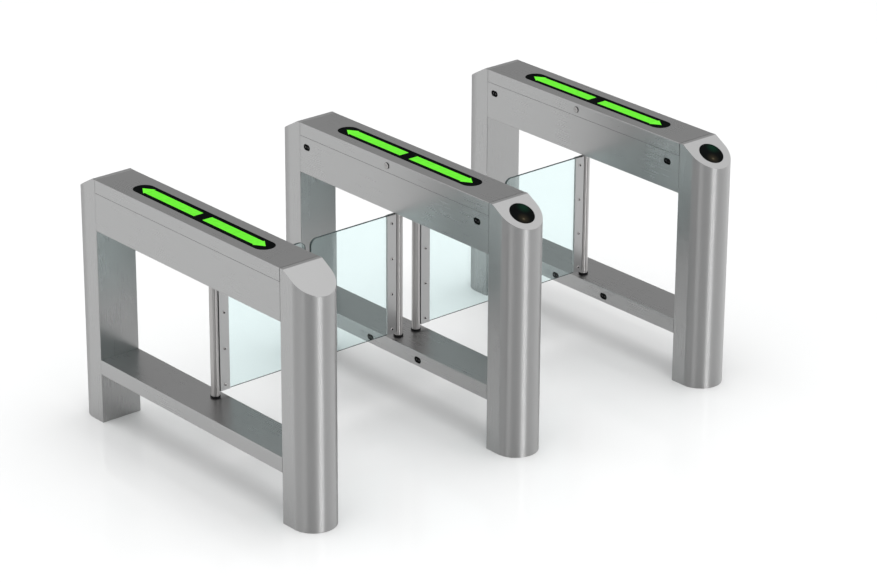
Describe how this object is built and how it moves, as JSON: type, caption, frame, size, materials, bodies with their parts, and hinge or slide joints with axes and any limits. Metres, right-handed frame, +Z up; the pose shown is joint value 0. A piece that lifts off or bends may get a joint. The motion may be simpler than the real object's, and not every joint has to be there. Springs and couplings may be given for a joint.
{
  "type": "smart turnstile",
  "caption": "Swing-wing turnstile: slim bridge pedestals with half-round legs carry glass wings that close the walkways between them.",
  "frame": {"origin": "on the floor, under the middle of the middle pedestal", "axes": "+X across the walkways to the right as seen by a person who walks in from the front, +Y along the pedestals to the rear, +Z up"},
  "size_m": [2.092, 1.4, 0.98],
  "materials": {
    "brushed_stainless": "brushed stainless steel, satin",
    "clear_glass": "clear toughened glass with polished edges",
    "display_black": "glossy black",
    "reader_black": "glossy black, slightly see-through",
    "arrow_green": "green diffuser, lit from behind",
    "lock_chrome": "polished chrome",
    "black_nylon": "black nylon",
    "sensor_black": "dark infrared filter plastic",
    "gearmotor_steel": "dark painted metal",
    "circuit_board": "green circuit board"
  },
  "bodies": {
    "frame": {"left_front_leg": "brushed_stainless", "left_rear_leg": "brushed_stainless", "left_rear_reader": "reader_black", "left_upper_beam": "brushed_stainless", "left_lower_beam": "brushed_stainless", "left_control_board": "circuit_board", "left_lower_bush": "black_nylon", "left_gearmotor": "gearmotor_steel", "left_upper_sensor_bar": "sensor_black", "left_lower_sensor_bar": "sensor_black", "middle_front_leg": "brushed_stainless", "middle_rear_leg": "brushed_stainless", "middle_front_reader": "reader_black", "middle_rear_reader": "reader_black", "middle_upper_beam": "brushed_stainless", "middle_lower_beam": "brushed_stainless", "middle_control_board": "circuit_board", "middle_left_lower_bush": "black_nylon", "middle_left_gearmotor": "gearmotor_steel", "middle_left_upper_sensor_bar": "sensor_black", "middle_left_lower_sensor_bar": "sensor_black", "middle_right_lower_bush": "black_nylon", "middle_right_gearmotor": "gearmotor_steel", "middle_right_upper_sensor_bar": "sensor_black", "middle_right_lower_sensor_bar": "sensor_black", "right_front_leg": "brushed_stainless", "right_rear_leg": "brushed_stainless", "right_front_reader": "reader_black", "right_upper_beam": "brushed_stainless", "right_lower_beam": "brushed_stainless", "right_control_board": "circuit_board", "right_lower_bush": "black_nylon", "right_gearmotor": "gearmotor_steel", "right_upper_sensor_bar": "sensor_black", "right_lower_sensor_bar": "sensor_black"},
    "left_cover": {"left_top_cover": "brushed_stainless", "left_display_window": "display_black", "left_arrow_light": "arrow_green"},
    "left_lock": {"left_cover_lock": "lock_chrome"},
    "left_wing": {"left_wing_post": "brushed_stainless", "left_clamp_strip": "brushed_stainless", "left_wing_glass": "clear_glass"},
    "middle_cover": {"middle_top_cover": "brushed_stainless", "middle_display_window": "display_black", "middle_arrow_light": "arrow_green"},
    "middle_lock": {"middle_cover_lock": "lock_chrome"},
    "middle_left_wing": {"middle_left_wing_post": "brushed_stainless", "middle_left_clamp_strip": "brushed_stainless", "middle_left_wing_glass": "clear_glass"},
    "middle_right_wing": {"middle_right_wing_post": "brushed_stainless", "middle_right_clamp_strip": "brushed_stainless", "middle_right_wing_glass": "clear_glass"},
    "right_cover": {"right_top_cover": "brushed_stainless", "right_display_window": "display_black", "right_arrow_light": "arrow_green"},
    "right_lock": {"right_cover_lock": "lock_chrome"},
    "right_wing": {"right_wing_post": "brushed_stainless", "right_clamp_strip": "brushed_stainless", "right_wing_glass": "clear_glass"}
  },
  "joints": [
    {"name": "left_wing_swing", "type": "hinge", "parent": "frame", "child": "left_wing", "pos_m": [-0.9155, 0.012, 0.26], "axis": [0, 0, 1], "range_deg": [-90, 90]},
    {"name": "middle_left_wing_swing", "type": "hinge", "parent": "frame", "child": "middle_left_wing", "pos_m": [-0.0435, 0.012, 0.26], "axis": [0, 0, 1], "range_deg": [-90, 90]},
    {"name": "middle_right_wing_swing", "type": "hinge", "parent": "frame", "child": "middle_right_wing", "pos_m": [0.0435, 0.012, 0.26], "axis": [0, 0, 1], "range_deg": [-90, 90]},
    {"name": "right_wing_swing", "type": "hinge", "parent": "frame", "child": "right_wing", "pos_m": [0.9155, 0.012, 0.26], "axis": [0, 0, 1], "range_deg": [-90, 90]},
    {"name": "left_cover_hinge", "type": "hinge", "parent": "frame", "child": "left_cover", "pos_m": [-1.036, 0, 0.9545], "axis": [0, -1, 0], "range_deg": [0, 95]},
    {"name": "middle_cover_hinge", "type": "hinge", "parent": "frame", "child": "middle_cover", "pos_m": [0.077, 0, 0.9545], "axis": [0, 1, 0], "range_deg": [0, 95]},
    {"name": "right_cover_hinge", "type": "hinge", "parent": "frame", "child": "right_cover", "pos_m": [1.036, 0, 0.9545], "axis": [0, 1, 0], "range_deg": [0, 95]},
    {"name": "left_lock_turn", "type": "hinge", "parent": "left_cover", "child": "left_lock", "pos_m": [-0.872, 0.028, 0.95475], "axis": [-1, 0, 0], "range_deg": [0, 90]},
    {"name": "middle_lock_turn", "type": "hinge", "parent": "middle_cover", "child": "middle_lock", "pos_m": [-0.087, 0.028, 0.95475], "axis": [-1, 0, 0], "range_deg": [0, 90]},
    {"name": "right_lock_turn", "type": "hinge", "parent": "right_cover", "child": "right_lock", "pos_m": [0.872, 0.028, 0.95475], "axis": [-1, 0, 0], "range_deg": [0, 90]}
  ],
  "couplings": [
    {"joint": "middle_left_wing_swing", "follows": "left_wing_swing", "ratio": -1},
    {"joint": "right_wing_swing", "follows": "middle_right_wing_swing", "ratio": -1}
  ]
}
